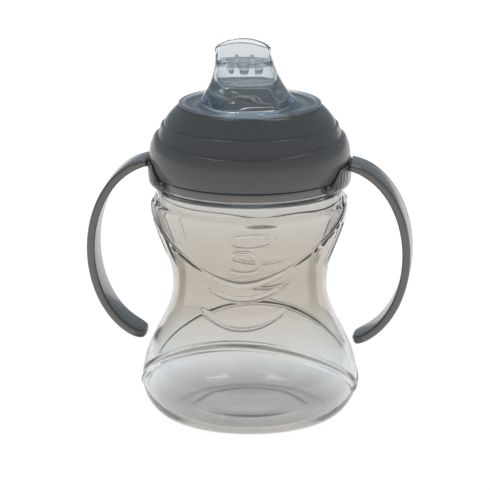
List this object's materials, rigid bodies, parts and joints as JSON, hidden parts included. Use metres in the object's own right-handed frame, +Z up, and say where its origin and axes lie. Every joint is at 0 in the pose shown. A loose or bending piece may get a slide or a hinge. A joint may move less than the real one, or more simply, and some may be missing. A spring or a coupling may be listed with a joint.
{
  "type": "trainer cup",
  "caption": "Clear waisted trainer cup with a soft slit-valve spout, a dark three-tier screw ring and a ring with two C-shaped side handles.",
  "frame": {"origin": "centre of the flat foot, on the surface that the cup stands on", "axes": "+Z up along the cup's axis; -Y is the drinking front; the two handles lie along +X and -X"},
  "size_m": [0.12, 0.08, 0.1412],
  "materials": {
    "clear_cup": "clear tinted polypropylene, smooth",
    "handle_plastic": "moulded polypropylene, satin gloss",
    "ring_plastic": "moulded polypropylene, satin gloss",
    "silicone": "clear soft silicone"
  },
  "bodies": {
    "cup": {"cup_body": "clear_cup"},
    "handles": {"handle_ring": "handle_plastic"},
    "spout": {"soft_spout": "silicone"},
    "ring": {"screw_ring": "ring_plastic"}
  },
  "joints": [
    {"name": "handle_turn", "type": "hinge", "parent": "cup", "child": "handles", "pos_m": [0, 0, 0.09], "axis": [0, 0, 1], "continuous": true},
    {"name": "lid_lift", "type": "slide", "parent": "cup", "child": "spout", "axis": [0, 0, 1], "range_m": [0, 0.02401]},
    {"name": "ring_turn", "type": "hinge", "parent": "spout", "child": "ring", "pos_m": [0, 0, 0.1], "axis": [0, 0, 1], "range_deg": [0, 1080]}
  ],
  "couplings": [
    {"joint": "lid_lift", "follows": "ring_turn", "m_per_rad": 0.0012732}
  ]
}
